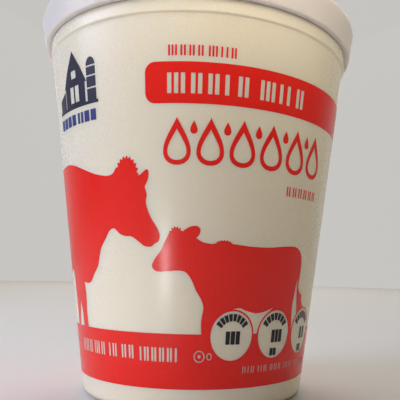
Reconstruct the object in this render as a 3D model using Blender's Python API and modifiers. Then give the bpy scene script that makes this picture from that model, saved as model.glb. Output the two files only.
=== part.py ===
"""Round tapered ricotta tub with its press-on lid, shut, standing on its base.

Metres, +Z up. The origin is the centre of the face it stands on.
"""
import math

import bmesh
import bpy

MM = 0.001

# Driving dimensions
TOTAL_HEIGHT = 108.8 * MM        # standing face to the top of the lid's rim
BASE_CONE_RADIUS = 33.27 * MM    # the wall's cone carried down to the standing face
WALL_TAPER = 0.1146              # gain in radius for each unit of height
HEEL_RADIUS = 2.6 * MM           # rounding between the wall and the base
STAND_RING_WIDTH = 3.2 * MM      # flat ring that the tub stands on
BASE_RECESS = 1.6 * MM           # how far the middle of the base is lifted

COLLAR_BOTTOM = 97.5 * MM        # upright band below the lid
COLLAR_TOP = 100.8 * MM
COLLAR_RADIUS = 44.95 * MM
COLLAR_FILLET = 0.6 * MM
NECK_RADIUS = 44.7 * MM          # groove between the collar and the rim

RIM_BOTTOM = 102.6 * MM          # rim that the lid presses over
RIM_RADIUS = 45.6 * MM
RIM_INNER_RADIUS = 44.0 * MM
RIM_EDGE = 0.3 * MM

LID_SKIRT_BOTTOM = 101.0 * MM
LID_SKIRT_RADIUS = 46.57 * MM    # at the skirt's lower edge
LID_WALL = 0.8 * MM
LID_EDGE_RADIUS = 1.3 * MM       # rounding of the lid's upper outer edge
LID_LIP_INNER_RADIUS = 45.05 * MM  # bead inside the skirt's lower edge, which grips under the rim
LID_LIP_HEIGHT = 1.0 * MM
LID_RIM_WIDTH = 4.9 * MM         # raised ring round the top
LID_PANEL_DEPTH = 3.4 * MM       # recess of the top panel below the rim
LID_STEP_RADIUS = 34.0 * MM      # low raised disc in the middle of the panel
LID_STEP_HEIGHT = 0.6 * MM

GAP = 0.3 * MM                   # between the lid and the tub
TURN_STEPS = 72
HEEL_STEPS = 5
EDGE_STEPS = 4
SMOOTH_ANGLE = math.radians(35)
WELD_DISTANCE = 0.02 * MM        # closes the seam and the poles of a turned shape

# Plastic of both pieces
TUB_COLOUR = (0.76, 0.71, 0.60, 1.0)
LID_COLOUR = (0.76, 0.71, 0.68, 1.0)
PLASTIC_ROUGHNESS = 0.42


def cone_radius(height):
    """Outer radius of the tapered wall at a height above the standing face."""
    return BASE_CONE_RADIUS + WALL_TAPER * height


def skirt_radius(height):
    """Outer radius of the lid's skirt, which runs parallel to the tub's wall."""
    return LID_SKIRT_RADIUS + WALL_TAPER * (height - LID_SKIRT_BOTTOM)


def arc(centre_r, centre_z, radius, start, end, steps):
    """Points of an arc in the profile plane, both ends included, angles in radians."""
    points = []
    for step in range(steps + 1):
        angle = start + (end - start) * step / steps
        points.append((centre_r + radius * math.cos(angle), centre_z + radius * math.sin(angle)))
    return points


def tub_profile():
    """The tub as one solid: seal face, rim, neck, collar, wall, heel and lifted base."""
    rim_top = TOTAL_HEIGHT - LID_WALL - GAP
    seal = TOTAL_HEIGHT - LID_PANEL_DEPTH - LID_WALL - GAP
    slope = math.atan(WALL_TAPER)
    heel_r = cone_radius(HEEL_RADIUS) - HEEL_RADIUS / math.cos(slope)
    ring_inner = heel_r - STAND_RING_WIDTH
    points = [
        (0.0, seal),
        (RIM_INNER_RADIUS, seal),
        (RIM_INNER_RADIUS, rim_top - RIM_EDGE),
        (RIM_INNER_RADIUS + RIM_EDGE, rim_top),
        (RIM_RADIUS - RIM_EDGE, rim_top),
        (RIM_RADIUS, rim_top - RIM_EDGE),
        (RIM_RADIUS, RIM_BOTTOM + RIM_EDGE),
        (RIM_RADIUS - RIM_EDGE, RIM_BOTTOM),
        (NECK_RADIUS, RIM_BOTTOM),
        (NECK_RADIUS, COLLAR_TOP),
        (COLLAR_RADIUS - RIM_EDGE, COLLAR_TOP),
        (COLLAR_RADIUS, COLLAR_TOP - RIM_EDGE),
        (COLLAR_RADIUS, COLLAR_BOTTOM + COLLAR_FILLET),
        (cone_radius(COLLAR_BOTTOM), COLLAR_BOTTOM),
    ]
    points += arc(heel_r, HEEL_RADIUS, HEEL_RADIUS, -slope, -math.pi / 2, HEEL_STEPS)
    points += [
        (ring_inner, 0.0),
        (ring_inner - BASE_RECESS, BASE_RECESS),
        (0.0, BASE_RECESS),
    ]
    return points


def lid_profile():
    """The lid as one moulded cap: panel, raised ring, skirt, gripping bead and underside."""
    top_outer = skirt_radius(TOTAL_HEIGHT)
    panel = TOTAL_HEIGHT - LID_PANEL_DEPTH
    panel_r = top_outer - LID_RIM_WIDTH
    under_top = TOTAL_HEIGHT - LID_WALL
    lip_top = LID_SKIRT_BOTTOM + LID_LIP_HEIGHT
    points = [
        (0.0, panel + LID_STEP_HEIGHT),
        (LID_STEP_RADIUS - LID_STEP_HEIGHT, panel + LID_STEP_HEIGHT),
        (LID_STEP_RADIUS, panel),
        (panel_r - RIM_EDGE, panel),
        (panel_r, panel + RIM_EDGE),
        (panel_r, TOTAL_HEIGHT - 2 * RIM_EDGE),
        (panel_r + 2 * RIM_EDGE, TOTAL_HEIGHT),
    ]
    points += arc(
        top_outer - LID_EDGE_RADIUS, TOTAL_HEIGHT - LID_EDGE_RADIUS, LID_EDGE_RADIUS,
        math.pi / 2, 0.0, EDGE_STEPS,
    )
    points += [
        (skirt_radius(LID_SKIRT_BOTTOM + RIM_EDGE), LID_SKIRT_BOTTOM + RIM_EDGE),
        (LID_SKIRT_RADIUS - RIM_EDGE, LID_SKIRT_BOTTOM),
        (LID_LIP_INNER_RADIUS, LID_SKIRT_BOTTOM),
        (LID_LIP_INNER_RADIUS, lip_top),
        (skirt_radius(lip_top) - LID_WALL, lip_top + RIM_EDGE),
        (skirt_radius(under_top) - LID_WALL, under_top),
        (panel_r + LID_WALL, under_top),
        (panel_r + LID_WALL, panel - LID_WALL),
        (0.0, panel - LID_WALL),
    ]
    return points


def material(name, colour):
    """Moulded plastic."""
    made = bpy.data.materials.new(name)
    made.use_nodes = True
    shader = made.node_tree.nodes["Principled BSDF"]
    shader.inputs["Base Color"].default_value = colour
    shader.inputs["Roughness"].default_value = PLASTIC_ROUGHNESS
    shader.inputs["Metallic"].default_value = 0.0
    return made


def turned(name, profile, finish, collection):
    """Turn a profile round the upright axis; both of its ends lie on the axis."""
    mesh = bpy.data.meshes.new(name)
    edges = [(index, index + 1) for index in range(len(profile) - 1)]
    mesh.from_pydata([(radius, 0.0, height) for radius, height in profile], edges, [])
    piece = bpy.data.objects.new(name, mesh)
    collection.objects.link(piece)
    screw = piece.modifiers.new("turn", "SCREW")
    screw.axis = "Z"
    screw.angle = 2 * math.pi
    screw.steps = TURN_STEPS
    screw.render_steps = TURN_STEPS
    screw.use_merge_vertices = True
    screw.merge_threshold = WELD_DISTANCE
    bake_turning(piece)
    piece.data.materials.append(finish)
    piece.data.shade_smooth()
    piece.data.set_sharp_from_angle(angle=SMOOTH_ANGLE)
    return piece


def bake_turning(piece):
    """Swap the profile for the turned mesh, welded into one closed body."""
    depsgraph = bpy.context.evaluated_depsgraph_get()
    turned_mesh = bpy.data.meshes.new_from_object(piece.evaluated_get(depsgraph))
    profile_mesh = piece.data
    piece.modifiers.clear()
    piece.data = turned_mesh
    bpy.data.meshes.remove(profile_mesh)
    body = bmesh.new()
    body.from_mesh(turned_mesh)
    bmesh.ops.remove_doubles(body, verts=body.verts, dist=WELD_DISTANCE)
    body.to_mesh(turned_mesh)
    body.free()


for old in list(bpy.data.objects):
    bpy.data.objects.remove(old, do_unlink=True)

parts = bpy.data.collections.new("ricotta_tub")
bpy.context.scene.collection.children.link(parts)

turned("tub", tub_profile(), material("tub_plastic", TUB_COLOUR), parts)
turned("lid", lid_profile(), material("lid_plastic", LID_COLOUR), parts)
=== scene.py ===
"""Round tapered tub of ricotta with its press-on lid and the print round its wall.

Metres throughout, +Z up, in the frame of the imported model: the origin is the centre of the standing ring,
and the printed front faces -Y. Print is laid out by degrees round the tub, 0 at the front and growing to the
right, and by millimetres of height above the standing ring.
"""
import math

import bmesh
import bpy
from mathutils import Matrix, Vector, geometry


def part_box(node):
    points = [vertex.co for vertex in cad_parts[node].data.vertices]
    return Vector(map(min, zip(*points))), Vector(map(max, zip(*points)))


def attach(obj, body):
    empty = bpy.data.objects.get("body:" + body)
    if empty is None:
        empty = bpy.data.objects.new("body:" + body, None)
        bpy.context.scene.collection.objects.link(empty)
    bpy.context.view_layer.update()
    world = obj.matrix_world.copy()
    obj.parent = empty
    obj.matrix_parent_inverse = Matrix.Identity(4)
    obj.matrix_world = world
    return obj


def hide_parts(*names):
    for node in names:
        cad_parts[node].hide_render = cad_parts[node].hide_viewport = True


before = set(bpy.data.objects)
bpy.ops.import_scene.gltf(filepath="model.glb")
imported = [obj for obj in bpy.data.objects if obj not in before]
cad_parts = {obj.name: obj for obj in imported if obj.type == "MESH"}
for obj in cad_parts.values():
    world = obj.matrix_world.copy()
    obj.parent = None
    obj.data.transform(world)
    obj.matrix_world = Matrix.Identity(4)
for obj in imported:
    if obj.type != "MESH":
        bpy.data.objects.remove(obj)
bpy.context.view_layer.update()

# --------------------------------------------------------------------------------------------------
# The tub: one injection-moulded cup of cream-white polypropylene with a satin skin. Its wall tapers to a
# small heel, and an upright collar is stepped out just under the lid. The base is lifted inside the ring
# that it stands on.
# --------------------------------------------------------------------------------------------------
MM = 0.001
BASE_CONE_RADIUS = 33.27      # the wall's cone carried down to the standing ring, in millimetres
WALL_TAPER = 0.1146
TURN_STEPS = 288
SHARP_TURN = 40               # degrees


def wall_radius(height):
    """Outer radius of the tub's wall in millimetres at a height in millimetres."""
    return BASE_CONE_RADIUS + WALL_TAPER * height


def arc(centre, radius, start, end, steps):
    """Points of an arc in a profile, angles in degrees, both ends included."""
    return [
        (
            centre[0] + radius * math.cos(math.radians(start + (end - start) * step / steps)),
            centre[1] + radius * math.sin(math.radians(start + (end - start) * step / steps)),
        )
        for step in range(steps + 1)
    ]


def placed(name, body, finish):
    """Put a worked mesh into the scene as an object with one finish."""
    mesh = bpy.data.meshes.new(name)
    body.to_mesh(mesh)
    body.free()
    mesh.materials.append(finish)
    piece = bpy.data.objects.new(name, mesh)
    bpy.context.scene.collection.objects.link(piece)
    return piece


def smoothed(piece):
    """Shade a piece smooth, but for the edges that turn sharply."""
    piece.data.shade_smooth()
    piece.data.set_sharp_from_angle(angle=math.radians(SHARP_TURN))
    return piece


def turned(name, profile, finish):
    """Turn a profile in millimetres, from axis to axis and down its outer side, into one closed piece."""
    body = bmesh.new()
    turns = [2 * math.pi * step / TURN_STEPS for step in range(TURN_STEPS)]
    rings = []
    for radius, height in profile:
        if radius == 0.0:
            rings.append([body.verts.new((0.0, 0.0, height * MM))])
            continue
        rings.append([
            body.verts.new((radius * MM * math.cos(turn), radius * MM * math.sin(turn), height * MM))
            for turn in turns
        ])
    for upper, lower in zip(rings, rings[1:]):
        for step in range(TURN_STEPS):
            after = (step + 1) % TURN_STEPS
            if len(upper) == 1:
                body.faces.new((upper[0], lower[step], lower[after]))
            elif len(lower) == 1:
                body.faces.new((upper[step], lower[0], upper[after]))
            else:
                body.faces.new((upper[step], lower[step], lower[after], upper[after]))
    return smoothed(placed(name, body, finish))


class Level:
    """A value that changes over a surface: a socket that can be added, taken away and scaled."""

    def __init__(self, nodes, socket):
        self.nodes = nodes
        self.socket = socket

    def worked(self, operation, first, second):
        return self.nodes.node("ShaderNodeMath", {"operation": operation}, {0: first, 1: second})

    def __add__(self, other):
        return self.worked("ADD", self, other)

    def __sub__(self, other):
        return self.worked("SUBTRACT", self, other)

    def __mul__(self, other):
        return self.worked("MULTIPLY", self, other)


class Nodes:
    """The nodes of a finish or of the room, and what is asked of them most."""

    def __init__(self, tree):
        self.tree = tree

    def node(self, kind, settings=None, inputs=None, output=0):
        """Add a node: its settings first, then the values or links of its sockets; returns one output."""
        made = self.tree.nodes.new(kind)
        for setting, value in (settings or {}).items():
            setattr(made, setting, value)
        for socket, value in (inputs or {}).items():
            self.feed(made.inputs[socket], value)
        return Level(self, made.outputs[output])

    def feed(self, socket, value):
        """Link a level to a socket, or set the socket to a plain value."""
        if isinstance(value, Level):
            self.tree.links.new(value.socket, socket)
        else:
            socket.default_value = value

    def blend(self, factor, first, second):
        """Mix two colours by a factor."""
        return self.node(
            "ShaderNodeMix", {"data_type": "RGBA", "clamp_factor": True},
            {0: factor, 6: first, 7: second}, output=2,
        )


class Finish(Nodes):
    """A moulded or printed finish, laid out in the object's own space."""

    def __init__(self, name):
        self.material = bpy.data.materials.new(name)
        self.material.use_nodes = True
        super().__init__(self.material.node_tree)
        self.place = self.node("ShaderNodeTexCoord", output="Object")

    def set(self, **sockets):
        """Set or link the shader's own sockets, named with underscores for spaces."""
        shader = self.tree.nodes["Principled BSDF"]
        for socket, value in sockets.items():
            self.feed(shader.inputs[socket.replace("_", " ")], value)

    def grain(self, size, detail=2.0, roughness=0.5, stretch=(1.0, 1.0, 1.0)):
        """Noise with features of about that size in millimetres, stretched along an axis where asked."""
        scale = tuple(1.0 / (size * MM * part) for part in stretch)
        place = self.node("ShaderNodeMapping", None, {"Vector": self.place, "Scale": scale})
        return self.node(
            "ShaderNodeTexNoise", None,
            {"Vector": place, "Scale": 1.0, "Detail": detail, "Roughness": roughness},
        )

    def relief(self, height, distance, strength=1.0, under=None):
        """Bump by a height from 0 to 1 that stands for a distance in millimetres."""
        inputs = {"Strength": strength, "Distance": distance * MM, "Height": height}
        if under is not None:
            inputs["Normal"] = under
        return self.node("ShaderNodeBump", None, inputs)

    def moulded_skin(self):
        """The relief of the plastic's skin, which its inks follow: orange peel over slow flow marks."""
        peel = self.grain(0.7, detail=2.0)
        flow = self.grain(6.0, detail=2.0, stretch=(1.0, 1.0, 6.0))
        return self.relief(peel, 0.0012, 1.0, under=self.relief(flow, 0.02, 0.6))


def moulded_plastic(name, pale, deep, roughness, weight):
    """Satin moulded plastic, with a slight drift of tone."""
    finish = Finish(name)
    drift = finish.grain(22.0, detail=3.0, stretch=(1.0, 1.0, 2.5))
    speckle = finish.grain(0.45, detail=3.0)
    tone = finish.blend(drift * 1.6 - 0.3, pale, deep)
    dusty = tuple(part * 0.96 for part in deep[:3]) + (1.0,)
    finish.set(
        Base_Color=finish.blend(speckle * 0.7 - 0.15, tone, dusty),
        Roughness=speckle * 0.05 + drift * 0.06 + (roughness - 0.055),
        Normal=finish.moulded_skin(),
        Subsurface_Weight=weight,
        Subsurface_Radius=(1.0, 0.8, 0.6),
        Subsurface_Scale=3.0 * MM,
        Specular_IOR_Level=0.4,
    )
    return finish.material


TUB_CREAM = (0.800, 0.745, 0.622, 1.0)
TUB_CREAM_DEEP = (0.765, 0.700, 0.566, 1.0)
tub_low, tub_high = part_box("tub")
tub_top = tub_high.z / MM
heel_radius = 2.6
stand_ring_width = 3.2
heel_slope = math.degrees(math.atan(WALL_TAPER))
heel_centre = (wall_radius(heel_radius) - heel_radius / math.cos(math.radians(heel_slope)), heel_radius)
ring_inner = heel_centre[0] - stand_ring_width
base_lift = 1.6
base_ring_radii = (20.0, 11.0)
collar_bottom, collar_top = 97.5, 100.92
collar_radius = 44.95
collar_roll = 0.35
neck_radius = 44.7
rim_bottom = 102.6
rim_radius = tub_high.x / MM
rim_inner = 44.0
seal_depth = 3.4
seal_height = tub_top - seal_depth
edge = 0.3
top_edge = 0.1

tub_profile = [(0.0, seal_height), (rim_inner, seal_height)]
tub_profile += arc((rim_inner + edge, tub_top - edge), edge, 180, 90, 4)
tub_profile += arc((rim_radius - edge, tub_top - edge), edge, 90, 0, 4)
tub_profile += arc((rim_radius - edge, rim_bottom + edge), edge, 0, -90, 4)
tub_profile += [(neck_radius + edge, rim_bottom), (neck_radius, rim_bottom - edge)]
tub_profile += [(neck_radius, collar_top)]
tub_profile += arc((collar_radius - top_edge, collar_top - top_edge), top_edge, 90, 0, 5)
# The collar's lower edge rolls over and runs into the wall through a small hollow fillet.
tub_profile += arc((collar_radius - collar_roll, collar_bottom + collar_roll), collar_roll, 0, -55, 6)
tub_profile += [
    (wall_radius(collar_bottom - 0.15) + 0.03, collar_bottom - 0.15),
    (wall_radius(collar_bottom - 0.5), collar_bottom - 0.5),
]
tub_profile += [(wall_radius(height), float(height)) for height in range(96, 5, -3)]
tub_profile += arc(heel_centre, heel_radius, -heel_slope, -90, 12)
tub_profile += [(ring_inner, 0.0), (ring_inner - 0.35, 0.12)]
tub_profile += [(ring_inner - base_lift + 0.4, base_lift - 0.3), (ring_inner - base_lift - 0.3, base_lift)]
# Two shallow rings stiffen the base round the small pip where the plastic came in.
for step_radius in base_ring_radii:
    tub_profile += [
        (step_radius + 0.5, base_lift), (step_radius + 0.2, base_lift - 0.35),
        (step_radius - 0.2, base_lift - 0.35), (step_radius - 0.5, base_lift),
    ]
tub_profile += [
    (2.6, base_lift), (2.0, base_lift + 0.5), (1.0, base_lift + 0.5), (0.8, base_lift - 0.2),
    (0.0, base_lift - 0.3),
]

tub_plastic = moulded_plastic("tub_plastic", TUB_CREAM, TUB_CREAM_DEEP, 0.27, 0.7)
tub = turned("tub_body", tub_profile, tub_plastic)
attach(tub, "root")
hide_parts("tub")

# --------------------------------------------------------------------------------------------------
# The lid: a white moulded cap of the same plastic, a little cooler in tone. Its skirt presses over the tub's
# rim with a small bead, its rim is rolled, and its top panel is let down so that tubs stack.
# --------------------------------------------------------------------------------------------------
LID_WHITE = (0.765, 0.692, 0.664, 1.0)
LID_WHITE_DEEP = (0.730, 0.652, 0.618, 1.0)
lid_low, lid_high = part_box("lid")
lid_top = lid_high.z / MM
skirt_bottom = lid_low.z / MM
skirt_low_radius = 46.57
lid_wall = 0.8
lid_edge = 1.3
skirt_top_radius = skirt_low_radius + WALL_TAPER * (lid_top - skirt_bottom)
rim_width = 4.9
panel_radius = skirt_top_radius - rim_width
panel_height = lid_top - 3.4
panel_corner = 0.6
disc_radius, disc_lift = 33.5, 0.6
bead_radius, bead_lift = 38.7, 0.25
rim_corner = 0.8
under_top = lid_top - lid_wall
lip_inner = neck_radius + 0.1
foot_edge = 0.45


def skirt_radius(height):
    """Outer radius of the lid's skirt, parallel to the tub's wall."""
    return skirt_low_radius + WALL_TAPER * (height - skirt_bottom)


# The pip where the plastic came in, then the low disc in the middle of the panel and a bead round it.
lid_profile = [
    (0.0, panel_height + 0.45), (1.2, panel_height + 0.45), (1.6, panel_height + 0.2),
    (2.2, panel_height + disc_lift), (disc_radius - 0.5, panel_height + disc_lift),
]
lid_profile += arc((disc_radius - 0.3, panel_height + 0.3), 0.3, 90, 0, 4)
lid_profile += [
    (disc_radius + 0.3, panel_height),
    (bead_radius - 0.5, panel_height), (bead_radius - 0.2, panel_height + bead_lift),
    (bead_radius + 0.2, panel_height + bead_lift), (bead_radius + 0.5, panel_height),
]
# Up to the raised rim, over its rolled edge and down the skirt to its foot.
lid_profile += arc((panel_radius - panel_corner, panel_height + panel_corner), panel_corner, -90, 0, 5)
lid_profile += arc((panel_radius + rim_corner, lid_top - rim_corner), rim_corner, 180, 90, 6)
lid_profile += arc((skirt_top_radius - lid_edge, lid_top - lid_edge), lid_edge, 90, 0, 8)
for height in (lid_top - 2.6, skirt_bottom + 2.2, skirt_bottom + 0.9):
    lid_profile.append((skirt_radius(height), height))
lid_profile += arc((skirt_low_radius - foot_edge, skirt_bottom + foot_edge), foot_edge, 0, -90, 6)
# Round the gripping bead and back along the underside.
lid_profile += [
    (lip_inner + top_edge, skirt_bottom), (lip_inner, skirt_bottom + top_edge),
    (lip_inner, skirt_bottom + 1.0), (skirt_radius(skirt_bottom + 1.4) - lid_wall, skirt_bottom + 1.4),
    (skirt_radius(under_top) - lid_wall, under_top), (panel_radius + lid_wall, under_top),
    (panel_radius + lid_wall, panel_height - lid_wall), (0.0, panel_height - lid_wall),
]

lid_plastic = moulded_plastic("lid_plastic", LID_WHITE, LID_WHITE_DEEP, 0.34, 0.7)
lid = turned("lid_cap", lid_profile, lid_plastic)
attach(lid, "root")
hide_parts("lid")

# --------------------------------------------------------------------------------------------------
# The red print below: a band round the foot of the wall with a cow and a calf standing on it, laid down in
# one colour. Badges, weight marks and the light between the legs are wall left bare. The ink is a thin film.
# --------------------------------------------------------------------------------------------------
MEAN_RADIUS = 39.0            # flattens degrees to millimetres while a film is cut
INK_THICKNESS = 0.03
INK_SINK = 0.05               # how far the film's hidden side lies inside the wall
MESH_ACROSS = 1.25            # degrees between the film's points
MESH_UP = 3.0                 # millimetres between them
INSIDE_LOOPS = 1              # keeps only the triangles inside the film's loops
SAME_POINT = 0.001            # millimetres under which two points of a film are one
ON_SEAM = 0.0001              # millimetres from the seam within which a point lies on it
SEAM_WELD = 1e-7              # metres under which the points of its two sides are joined


def degrees_wide(millimetres, height):
    """Degrees round the wall that a width in millimetres takes up at a height."""
    return math.degrees(millimetres / wall_radius(height))


def smooth_loop(points, step=0.45):
    """A closed smooth curve through points; a point given twice in a row is a sharp corner."""
    curve = []
    count = len(points)
    for index in range(count):
        before, start, end, after = (Vector(points[(index + turn) % count]) for turn in (-1, 0, 1, 2))
        if start == end:
            continue
        pieces = max(1, math.ceil((end - start).length / step))
        for piece in range(pieces):
            t = piece / pieces
            curve.append(0.5 * (
                2 * start + (end - before) * t
                + (2 * before - 5 * start + 4 * end - after) * t ** 2
                + (3 * start - before - 3 * end + after) * t ** 3
            ))
    return [tuple(point) for point in curve]


def oval(angle, height, half_width, half_height, steps=72):
    """A closed oval, its half sizes in millimetres."""
    half_angle = degrees_wide(half_width, height)
    turns = [2 * math.pi * step / steps for step in range(steps)]
    return [(angle + half_angle * math.cos(turn), height + half_height * math.sin(turn)) for turn in turns]


def rounded_box(left, right, bottom, top, corner, steps=6):
    """A closed box between two angles and two heights, its corners rounded by a radius in millimetres."""
    points = []
    corners = ((right, top, 0), (left, top, 90), (left, bottom, 180), (right, bottom, 270))
    for angle, height, start in corners:
        inward = -1 if angle == right else 1
        down = -1 if height == top else 1
        for step in range(steps + 1):
            turn = math.radians(start + 90 * step / steps)
            across = inward * corner + corner * math.cos(turn)
            up = down * corner + corner * math.sin(turn)
            points.append((angle + degrees_wide(across, height), height + up))
    return points


def bar_row(rhythm, left, right, bottom, top, width, corner=0.12):
    """A plain row of upright bars: in its rhythm each | is a bar's step and each . is half a step of gap."""
    steps = {"|": 1.0, ".": 0.5}
    pitch = (right - left) / sum(steps[mark] for mark in rhythm)
    bars = []
    angle = left
    for mark in rhythm:
        if mark == "|":
            half = degrees_wide(width / 2, bottom)
            middle = angle + pitch / 2
            bars.append(rounded_box(middle - half, middle + half, bottom, top, corner, steps=3))
        angle += pitch * steps[mark]
    return bars


def divided(loop):
    """The loop in flat millimetres, with points close enough to bend round the wall."""
    flat = [Vector((math.radians(angle) * MEAN_RADIUS, height)) for angle, height in loop]
    longest = math.radians(MESH_ACROSS) * MEAN_RADIUS
    points = []
    for start, end in zip(flat, flat[1:] + flat[:1]):
        pieces = max(1, math.ceil(abs(end.x - start.x) / longest))
        points += [start.lerp(end, piece / pieces) for piece in range(pieces)]
    return points


def holds(loop, x, y):
    """Whether a flat loop goes round a point."""
    inside = False
    last_x, last_y = loop[-1]
    for here_x, here_y in loop:
        if (here_y > y) != (last_y > y):
            if x < (last_x - here_x) * (y - here_y) / (last_y - here_y) + here_x:
                inside = not inside
        last_x, last_y = here_x, here_y
    return inside


def on_wall(point, out):
    """A flat point laid on the wall, a little out from it or in."""
    angle = point[0] / MEAN_RADIUS
    radius = wall_radius(point[1]) + out
    return Vector((radius * math.sin(angle), -radius * math.cos(angle), point[1])) * MM


def film(name, layers, finish):
    """Lay an ink film on the wall. Layers are (inked or bare, loop), and each covers the ones before it."""
    loops = [(inked, divided(loop)) for inked, loop in layers]
    boxes = [
        (min(p.x for p in loop), max(p.x for p in loop), min(p.y for p in loop), max(p.y for p in loop))
        for _, loop in loops
    ]

    def painted(x, y):
        for (inked, loop), (left, right, low, high) in zip(reversed(loops), reversed(boxes)):
            if left <= x <= right and low <= y <= high and holds(loop, x, y):
                return inked
        return False

    points, edges = [], []
    for _, loop in loops:
        first = len(points)
        points += loop
        edges += [(first + index, first + (index + 1) % len(loop)) for index in range(len(loop))]
    across = math.radians(MESH_ACROSS) * MEAN_RADIUS
    lefts, rights, lows, highs = zip(*boxes)
    columns = range(math.ceil(min(lefts) / across), math.floor(max(rights) / across) + 1)
    rows = range(math.ceil(min(lows) / MESH_UP), math.floor(max(highs) / MESH_UP) + 1)
    grid = [(column * across, row * MESH_UP) for column in columns for row in rows]
    points += [Vector(place) for place in grid if painted(*place)]
    verts, _, faces, _, _, _ = geometry.delaunay_2d_cdt(points, edges, [], INSIDE_LOOPS, SAME_POINT)

    body = bmesh.new()
    outer, inner = {}, {}
    sides = {}
    for face in faces:
        middle = sum((verts[index] for index in face), Vector((0.0, 0.0))) / len(face)
        if not painted(middle.x, middle.y):
            continue
        for index in face:
            if index not in outer:
                outer[index] = body.verts.new(on_wall(verts[index], INK_THICKNESS))
                inner[index] = body.verts.new(on_wall(verts[index], -INK_SINK))
        body.faces.new([outer[index] for index in face])
        body.faces.new([inner[index] for index in reversed(face)])
        for start, end in zip(face, face[1:] + face[:1]):
            sides[(start, end)] = True
    seam = math.pi * MEAN_RADIUS - ON_SEAM
    for start, end in sides:
        along_seam = abs(verts[start].x) > seam and abs(verts[end].x) > seam
        if (end, start) not in sides and not along_seam:
            body.faces.new((outer[end], outer[start], inner[start], inner[end]))
    bmesh.ops.remove_doubles(body, verts=body.verts, dist=SEAM_WELD)
    piece = smoothed(placed(name, body, finish))
    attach(piece, "root")


def printing_ink(name, full, thin, roughness):
    """Ink over the plastic's skin, a little uneven in cover."""
    finish = Finish(name)
    cover = finish.grain(0.5, detail=3.0)
    drift = finish.grain(14.0, detail=2.0)
    finish.set(
        Base_Color=finish.blend(cover * 1.1 + drift * 0.5 - 0.45, full, thin),
        Roughness=cover * 0.12 + (roughness - 0.06),
        Specular_IOR_Level=0.3,
        Normal=finish.moulded_skin(),
    )
    return finish.material


red_ink = printing_ink("red_ink", (0.750, 0.014, 0.010, 1.0), (0.780, 0.034, 0.024, 1.0), 0.24)

band_bottom, band_top = 6.4, 20.56
half_turn = 180.0
band = [(-half_turn, band_bottom), (half_turn, band_bottom), (half_turn, band_top), (-half_turn, band_top)]


def tuft(angle, height, half_width, half_height, start, end, tips, bite):
    """Tips of hair fanned along an oval, its half sizes in degrees and millimetres, as sharp corners."""
    points = []
    for index in range(2 * tips - 1):
        turn = math.radians(start + (end - start) * index / (2 * tips - 2))
        reach = 1.0 - bite * (index % 2)
        point = (angle + half_width * reach * math.cos(turn), height + half_height * reach * math.sin(turn))
        points += [point, point]
    return points


# The cow faces right, her head lowered to the calf; her body goes on round the left side of the tub.
foot = band_top - 0.5
cow = smooth_loop([
    (-53.6, foot), (-53.6, foot), (-53.9, 24.5), (-53.4, 29.0), (-54.0, 32.8), (-54.0, 32.8), (-50.4, 32.5),
    (-47.9, 33.1), (-45.4, 35.1), (-42.6, 37.2), (-41.3, 39.6), (-40.0, 41.8), (-37.0, 44.3), (-34.8, 46.2),
    (-32.4, 46.7), (-30.0, 45.4), (-27.6, 44.8), (-24.6, 44.6), (-21.8, 43.4), (-19.4, 42.3), (-16.8, 42.2),
    (-15.3, 43.0), (-14.0, 43.4), (-13.4, 44.9), (-14.4, 46.8), (-16.6, 49.2), (-18.2, 51.8), (-18.5, 53.4),
    (-18.1, 54.8), (-18.6, 56.2), (-18.8, 56.9), (-17.7, 58.4), (-17.3, 60.2), (-17.9, 61.0), (-19.2, 60.5),
    (-20.4, 59.8), (-21.5, 59.6),
] + tuft(-25.9, 60.0, 4.9, 4.6, -2, 158, 10, 0.17) + [
    (-31.6, 60.6), (-33.0, 60.1), (-35.4, 60.0), (-41.0, 60.8), (-48.0, 62.5), (-55.0, 64.1), (-62.0, 64.8),
    (-72.0, 64.8), (-84.0, 65.8), (-98.0, 66.0), (-110.0, 66.9), (-120.0, 66.6), (-126.5, 64.0),
    (-129.2, 58.0), (-130.2, 48.0), (-132.6, 35.0), (-133.4, 29.0), (-131.4, 27.2), (-129.8, 30.0),
    (-128.8, 40.0), (-127.6, 47.0), (-127.2, 47.0), (-126.0, 37.0), (-127.6, 29.0), (-127.0, foot),
    (-127.0, foot), (-122.4, foot), (-122.4, foot), (-122.0, 27.0), (-120.4, 33.0), (-118.8, 28.0),
    (-119.2, foot), (-119.2, foot), (-114.8, foot), (-114.8, foot), (-113.6, 28.0), (-111.0, 34.6),
    (-106.4, 33.2), (-102.6, 34.2), (-99.6, 37.0), (-88.0, 35.2), (-76.0, 35.0), (-68.6, 36.0),
    (-66.8, 31.0), (-66.2, 25.0), (-66.6, foot), (-66.6, foot), (-63.3, foot), (-63.3, foot), (-61.4, 25.0),
    (-60.2, 27.2), (-59.0, 25.0), (-58.0, foot), (-58.0, foot),
])

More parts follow.
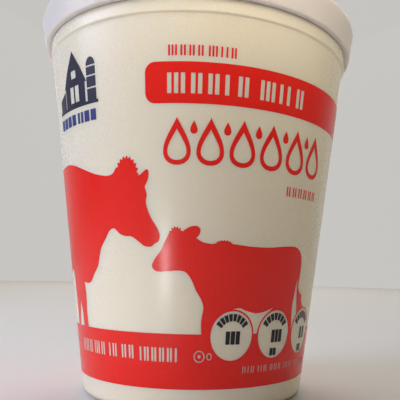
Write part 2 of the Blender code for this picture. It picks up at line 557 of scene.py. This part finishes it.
# The calf faces left; her tail hangs clear of her leg and down behind the last badge.
calf = smooth_loop([
    (3.0, foot), (3.0, foot), (2.8, 23.6), (3.5, 27.2), (2.6, 29.2), (0.4, 31.6), (-1.4, 34.2),
    (-3.6, 36.0), (-6.6, 36.4), (-10.6, 36.2), (-13.8, 36.0), (-15.8, 36.5), (-16.6, 37.6), (-15.2, 39.4),
    (-13.2, 41.2), (-11.6, 43.4), (-10.0, 45.4),
] + tuft(-7.3, 45.6, 2.6, 1.75, 165, 15, 6, 0.3) + [
    (-3.8, 46.6), (-1.8, 47.3), (0.4, 47.4), (1.6, 46.6), (1.2, 45.3), (0.1, 44.5), (0.1, 44.5),
    (2.8, 43.5), (6.4, 43.1),
] + tuft(10.6, 43.0, 3.9, 1.25, 168, 12, 9, 0.22) + [
    (16.8, 43.1), (22.0, 42.8), (30.0, 42.8), (38.0, 43.3), (44.4, 43.4), (48.0, 42.4), (50.1, 40.4),
    (50.6, 37.0), (50.3, 33.4), (51.0, 31.8), (52.6, 30.8), (54.3, 30.2), (54.6, 28.8), (56.4, 27.4),
    (59.0, 26.4), (61.4, 24.0), (62.4, foot), (62.4, foot), (51.6, foot), (51.6, foot), (51.2, 24.6),
    (50.8, 27.0), (49.9, 29.4), (49.3, 32.2), (48.9, 35.2), (48.9, 35.2), (48.0, 31.8), (47.1, 28.0),
    (47.3, 25.0), (48.4, foot), (48.4, foot),
])
under_belly = smooth_loop([
    (15.5, 26.9), (15.5, 26.9), (18.4, 27.2), (21.4, 26.5), (25.4, 25.9), (29.4, 26.1), (34.6, 27.2),
    (34.6, 27.2), (30.0, 24.6), (27.0, band_top), (27.0, band_top), (25.5, band_top), (25.5, band_top),
    (23.0, 24.6),
])

badge_height = 20.1
badge_half_width, badge_half_height = 5.6, 6.35
badge_angles = [15.8 + 21.1 * index for index in range(3)]
badge_line = 0.42

band_layers = [(True, band), (True, cow), (True, calf), (False, under_belly)]
for inked, line in ((True, badge_line), (False, 0.0)):
    for angle in badge_angles:
        ring = oval(angle, badge_height, badge_half_width + line, badge_half_height + line)
        band_layers.append((inked, ring))

# The weight marks on the left, two small rings beside them, and a finer row under the badges.
weight_marks = bar_row("||.||.||..|||.||...|.||...||.||", -61.2, -25.5, 13.7, 17.2, 0.52)
weight_marks += bar_row("|.||.||.||.||.|", -23.1, -6.5, 13.4, 17.0, 0.52)
fine_rhythm = "||.|.||...|.|.||...||.||.||...|.||.||.|...||.||.||.|.||.||"
weight_marks += bar_row(fine_rhythm, 21.2, 68.5, 10.3, 12.1, 0.30)
band_layers += [(False, mark) for mark in weight_marks]
ring_line = 0.3
ring_height = 14.9
for angle, half_width, half_height in ((2.4, 1.4, 1.55), (6.5, 0.7, 0.95)):
    for inked, line in ((False, 0.0), (True, ring_line)):
        ring = oval(angle, ring_height, half_width - line, half_height - line, steps=36)
        band_layers.append((inked, ring))
band_layers.append((False, oval(2.4, ring_height, 0.4, 0.45, steps=18)))

film("band_and_cattle", band_layers, red_ink)

# --------------------------------------------------------------------------------------------------
# The red banner below the collar: a wide stripe with round corners that runs on past the right side, printed
# in the same red, with a row of bars left bare in it. A small row of red bars stands above its left end.
# --------------------------------------------------------------------------------------------------
banner_left, banner_right = -17.9, 112.0
banner_bottom, banner_top = 76.5, 86.15
banner_corner = 2.5
stripe = rounded_box(banner_left, banner_right, banner_bottom, banner_top, banner_corner, steps=10)
bars_bottom, bars_top = 78.8, 83.6
banner_bars = bar_row("|||.||.||.|..||", -10.9, 16.8, bars_bottom, bars_top, 1.05)
banner_bars += bar_row("|||.|.|..||", 20.3, 39.7, bars_bottom, bars_top, 1.05)
banner_layers = [(True, stripe)] + [(False, bar) for bar in banner_bars]
film("banner", banner_layers, red_ink)

small_row = bar_row("|||.||.||.||..|||.|.|.||", -10.4, 11.9, 87.5, 90.0, 0.45)
film("small_red_row", [(True, bar) for bar in small_row], red_ink)

# --------------------------------------------------------------------------------------------------
# The large open pattern below the banner: a row of milk drops in a thin red line, a small full drop between
# each pair, with a short fine row of bars below its right end. It is one pass of the same red ink.
# --------------------------------------------------------------------------------------------------
drop_bottom, drop_top = 62.0, 73.4
drop_half_width, drop_line = 3.75, 1.15
drop_first, drop_pitch, drop_count = -7.2, 11.4, 6
droplet_bottom, droplet_top, droplet_half_width = 69.4, 72.6, 1.0
DROP_FULLNESS = 1.28          # brings the widest part of the curve out to the half width
POINT_INSET = 2.4             # how many insets the inner edge stops short of the point


def drop(angle, bottom, top, half_width, inset=0.0, steps=80):
    """A drop, round below and drawn up to a point; an inset gives the inner edge of its line."""
    low, high = bottom + inset, top - POINT_INSET * inset
    points = []
    for step in range(steps):
        turn = 2 * math.pi * step / steps
        height = low + (high - low) * (1 + math.cos(turn)) / 2
        across = DROP_FULLNESS * (half_width - inset) * math.sin(turn) * math.sin(turn / 2) ** 1.5
        points.append((angle + degrees_wide(across, height), height))
    return points


drop_layers = []
for index in range(drop_count):
    angle = drop_first + drop_pitch * index
    drop_layers.append((True, drop(angle, drop_bottom, drop_top, drop_half_width)))
    drop_layers.append((False, drop(angle, drop_bottom, drop_top, drop_half_width, inset=drop_line)))
    if index < drop_count - 1:
        between = angle + drop_pitch / 2
        drop_layers.append((True, drop(between, droplet_bottom, droplet_top, droplet_half_width, steps=36)))
film("milk_drops", drop_layers, red_ink)

fine_row = bar_row("||.||.||.||.||.||", 35.3, 54.9, 56.3, 58.8, 0.42)
film("fine_red_row", [(True, bar) for bar in fine_row], red_ink)

# --------------------------------------------------------------------------------------------------
# The farm mark at the upper left: a barn, a lean-to and a domed silo in one near-black navy, over a row of
# bars in a bluer navy. Both are printed straight on the wall.
# --------------------------------------------------------------------------------------------------
navy_dark = printing_ink("navy_ink_dark", (0.020, 0.020, 0.042, 1.0), (0.034, 0.034, 0.062, 1.0), 0.34)
navy_blue = printing_ink("navy_ink_blue", (0.030, 0.042, 0.170, 1.0), (0.050, 0.062, 0.220, 1.0), 0.36)
mark_left, mark_right = -64.5, -36.8
mark_ground, mark_top = 79.2, 93.2
barn_left, barn_right = -57.0, -43.4
barn_middle = (barn_left + barn_right) / 2
eaves = mark_ground + 5.2
roof_knee = mark_ground + 9.2
barn = [
    (barn_left, mark_ground), (barn_right, mark_ground), (barn_right, eaves), (barn_right + 1.0, eaves),
    (barn_right - 2.2, roof_knee), (barn_middle, mark_top), (barn_left + 2.2, roof_knee),
    (barn_left - 1.0, eaves), (barn_left, eaves),
]
door = [
    (barn_middle - 3.0, mark_ground + 0.8), (barn_middle + 3.0, mark_ground + 0.8),
    (barn_middle + 3.0, mark_ground + 5.0), (barn_middle - 3.0, mark_ground + 5.0),
]
door_post = [
    (barn_middle - 0.45, mark_ground), (barn_middle + 0.45, mark_ground),
    (barn_middle + 0.45, mark_ground + 5.4), (barn_middle - 0.45, mark_ground + 5.4),
]
loft = rounded_box(barn_middle - 1.6, barn_middle + 1.6, mark_ground + 7.0, mark_ground + 9.0, 0.3)
lean_left, lean_right = -63.4, barn_left - 0.6
lean_low, lean_high = mark_ground + 3.0, mark_ground + 4.6
lean_to = [
    (lean_left, mark_ground), (lean_right, mark_ground), (lean_right, lean_high),
    (lean_left - 0.6, lean_low), (lean_left, lean_low),
]
silo_middle, silo_half_width = -39.9, 2.3
silo_left, silo_right = silo_middle - silo_half_width, silo_middle + silo_half_width
dome_ground, dome_height = mark_ground + 8.6, 2.2
silo = [(silo_left, mark_ground), (silo_right, mark_ground)]
for turn in range(0, 181, 12):
    across = silo_half_width * math.cos(math.radians(turn))
    silo.append((silo_middle + across, dome_ground + dome_height * math.sin(math.radians(turn))))
hoop_width, hoop_overhang = 0.4, 0.2
silo_hoops = []
for height in (3.0, 6.0, 8.4):
    low, high = mark_ground + height, mark_ground + height + hoop_width
    left, right = silo_left - hoop_overhang, silo_right + hoop_overhang
    silo_hoops.append([(left, low), (right, low), (right, high), (left, high)])
ground_line = [
    (mark_left, mark_ground - 0.7), (mark_right, mark_ground - 0.7),
    (mark_right, mark_ground + 0.1), (mark_left, mark_ground + 0.1),
]
mark_layers = [(True, barn), (True, lean_to), (True, silo), (False, door), (True, door_post), (False, loft)]
mark_layers += [(False, hoop) for hoop in silo_hoops] + [(True, ground_line)]
film("farm_mark", mark_layers, navy_dark)

mark_row = bar_row("||.||.||.||..|.|.||.||", -64.2, -38.3, 74.3, 77.1, 1.0)
film("farm_mark_row", [(True, bar) for bar in mark_row], navy_blue)

# --------------------------------------------------------------------------------------------------
# The black marks in the three bare badges: a row of short bars set round the top of each, and upright bars
# at its middle, with a smaller row below in the last two. They are a last pass in one black ink.
# --------------------------------------------------------------------------------------------------
black_ink = printing_ink("black_ink", (0.014, 0.013, 0.018, 1.0), (0.028, 0.026, 0.032, 1.0), 0.34)


def arched_bars(angle, height, inner, outer, count, spread, fill=0.78):
    """Short bars set like rays round the top of a badge; inner and outer are parts of its half sizes."""
    bars = []
    for index in range(count):
        middle = -spread + 2 * spread * index / (count - 1)
        half = spread / (count - 1) * fill
        low, high = middle - half, middle + half
        corners = ((low, inner), (low, outer), (high, outer), (high, inner))
        bars.append([
            (
                angle + degrees_wide(badge_half_width * reach * math.sin(math.radians(turn)), height),
                height + badge_half_height * reach * math.cos(math.radians(turn)),
            )
            for turn, reach in corners
        ])
    return bars


# For each badge: its number of rays, then the lean in degrees, the rhythm and the width of its upright bars.
badge_prints = ((8, 0.0, "|||", 1.12), (7, 1.0, "|||", 1.12), (7, 1.4, "||", 1.35))
badge_marks = []
for angle, (rays, lean, rhythm, width) in zip(badge_angles, badge_prints):
    badge_marks += arched_bars(angle, badge_height, 0.60, 0.90, rays, 52.0)
    badge_marks += bar_row(rhythm, angle + lean - 2.9, angle + lean + 3.7, 17.9, 21.3, width)
for angle in badge_angles[1:]:
    badge_marks += bar_row("||", angle - 2.0, angle + 2.0, 14.4, 16.4, 1.05)
film("badge_marks", [(True, mark) for mark in badge_marks], black_ink)

# --------------------------------------------------------------------------------------------------
# The table it stands on and the studio round it: a wide pale board, plain but for a slight drift of tone,
# and a round pale wall. A broad cool box lights the tub from high at the left and a warm one from the right,
# with a wide one behind and small ones close to the tub.
# --------------------------------------------------------------------------------------------------
FLOOR_PALE, FLOOR_DEEP = (0.78, 0.767, 0.745, 1.0), (0.74, 0.727, 0.705, 1.0)
floor_reach = 1.6
floor_body = bmesh.new()
bmesh.ops.create_grid(floor_body, x_segments=2, y_segments=2, size=floor_reach)
floor_finish = Finish("floor_pale")
floor_finish.set(
    Base_Color=floor_finish.blend(floor_finish.grain(180.0, detail=2.0), FLOOR_PALE, FLOOR_DEEP),
    Roughness=floor_finish.grain(3.0) * 0.1 + 0.7,
)
floor = placed("floor", floor_body, floor_finish.material)

# The fill lights and the streak leave the floor alone, and one wide wash lights nothing but the floor.
off_floor, only_floor = (bpy.data.collections.new(name) for name in ("off_floor", "only_floor"))
for group, state in ((off_floor, "EXCLUDE"), (only_floor, "INCLUDE")):
    group.objects.link(floor)
    group.collection_objects[0].light_linking.link_state = state

# The round pale wall of the studio glows evenly and is only looked at: it throws no light on the tub.
WALL_PALE, WALL_DEEP = (0.58, 0.565, 0.54, 1.0), (0.54, 0.527, 0.505, 1.0)
wall_distance, wall_height = 1.2, 2.4
wall_body = bmesh.new()
bmesh.ops.create_cone(
    wall_body, cap_ends=False, segments=128, radius1=wall_distance, radius2=wall_distance, depth=wall_height,
)
wall_finish = Finish("wall_pale")
wall_finish.set(
    Base_Color=(0.0, 0.0, 0.0, 1.0),
    Emission_Color=wall_finish.blend(wall_finish.grain(900.0, detail=1.0), WALL_PALE, WALL_DEEP),
    Emission_Strength=1.0,
)
wall = placed("studio_wall", wall_body, wall_finish.material)
wall.location.z = wall_height / 2
wall.visible_diffuse = False
wall.visible_glossy = False
wall.visible_transmission = False
wall.visible_shadow = False

tub_middle = Vector((0.0, 0.0, (tub_low.z + lid_high.z) / 2))


def round_tub(turn, rise, distance):
    """A place by degrees round from the front and up, at a distance in metres from the tub's middle."""
    level = distance * math.cos(math.radians(rise))
    return tub_middle + Vector((
        level * math.sin(math.radians(turn)),
        -level * math.cos(math.radians(turn)),
        distance * math.sin(math.radians(rise)),
    ))


def light_box(name, place, width, height, power, colour, aim=tub_middle, lit=None):
    """A soft rectangular light, hidden itself, that faces a point and lights all or only what lit says."""
    light = bpy.data.lights.new(name, "AREA")
    light.shape = "RECTANGLE"
    light.size = width
    light.size_y = height
    light.energy = power
    light.color = colour
    lamp = bpy.data.objects.new(name, light)
    bpy.context.scene.collection.objects.link(lamp)
    lamp.location = place
    lamp.rotation_euler = (aim - lamp.location).to_track_quat("-Z", "Y").to_euler()
    lamp.visible_camera = False
    lamp.light_linking.receiver_collection = lit
    return lamp


light_box("side_box", round_tub(-77, 32, 0.55), 0.30, 0.30, 1.62, (0.72, 0.76, 1.00))

# The fills: place, width, height, power, colour, and how far above the tub's middle each is aimed.
fills = (
    ("low_box", (-72, 9, 0.50), 0.26, 0.10, 0.57, (0.71, 0.86, 1.00), 0.0),
    ("foot_box", (-30, -26, 0.10), 0.07, 0.02, 0.009, (1.00, 0.95, 0.86), -0.040),
    ("near_box", (10, 66, 0.14), 0.12, 0.05, 0.046, (1.00, 0.85, 0.52), 0.045),
    ("brow_box", (12, 42, 0.106), 0.11, 0.03, 0.035, (1.00, 0.88, 0.72), 0.042),
    ("right_box", (84, 12, 0.50), 0.30, 0.30, 0.41, (1.00, 0.88, 0.57), 0.0),
)
for name, place, width, height, power, colour, above in fills:
    aim = tub_middle + Vector((0.0, 0.0, above))
    fill = light_box(name, round_tub(*place), width, height, power, colour, aim, off_floor)
    fill.visible_glossy = False

light_box("back_box", round_tub(180, 45, 1.20), 1.20, 1.20, 6.8, (1.00, 0.95, 0.88))
light_box("floor_wash", round_tub(0, 90, 1.60), 4.80, 4.80, 15.0, (1.00, 0.96, 0.91), lit=only_floor)

# A thin upright strip low down at the left, whose reflection draws a short bright streak on the wall.
streak_place = Vector((-0.061, -0.145, 0.011))
streak_aim = Vector((-0.0074, -0.037, 0.036))
light_box("streak_strip", streak_place, 0.008, 0.034, 0.036, (1.0, 1.0, 1.0), streak_aim, off_floor)

# The room round it is dim in front and pale behind.
ROOM_DIM, ROOM_PALE = (0.020, 0.019, 0.017, 1.0), (0.50, 0.487, 0.465, 1.0)
world = bpy.data.worlds.new("studio")
bpy.context.scene.world = world
world.use_nodes = True
room = Nodes(world.node_tree)
outlook = room.node("ShaderNodeTexCoord", output="Generated")
behind = room.node("ShaderNodeSeparateXYZ", None, {0: outlook}, output="Y")
backdrop = world.node_tree.nodes["Background"]
room.feed(backdrop.inputs["Color"], room.blend(behind * 1.5 - 0.15, ROOM_DIM, ROOM_PALE))
bpy.context.scene.view_settings.view_transform = "Standard"

# --------------------------------------------------------------------------------------------------
# The camera: close in front and level with the lower wall, so that the lid is seen a little from below.
# --------------------------------------------------------------------------------------------------
camera_distance, camera_height = 167.8512, 36.779     # millimetres from the axis and above the table
camera_data = bpy.data.cameras.new("camera")
camera_data.sensor_width = 36.0
camera_data.lens = 47.49
camera_data.shift_x = -0.0719
camera_data.shift_y = 0.150
camera_data.clip_start = 0.01
camera = bpy.data.objects.new("camera", camera_data)
bpy.context.scene.collection.objects.link(camera)
camera.location = (0.0, -camera_distance * MM, camera_height * MM)
look_up, look_right, roll = 0.01932, 0.06303, 0.0222     # radians
ahead = Vector((
    math.sin(look_right) * math.cos(look_up), math.cos(look_right) * math.cos(look_up), math.sin(look_up),
))
level_right = Vector((math.cos(look_right), -math.sin(look_right), 0.0))
level_up = level_right.cross(ahead)
right = math.cos(roll) * level_right + math.sin(roll) * level_up
up = -math.sin(roll) * level_right + math.cos(roll) * level_up
camera.rotation_euler = Matrix((right, up, -ahead)).transposed().to_euler()
bpy.context.scene.camera = camera
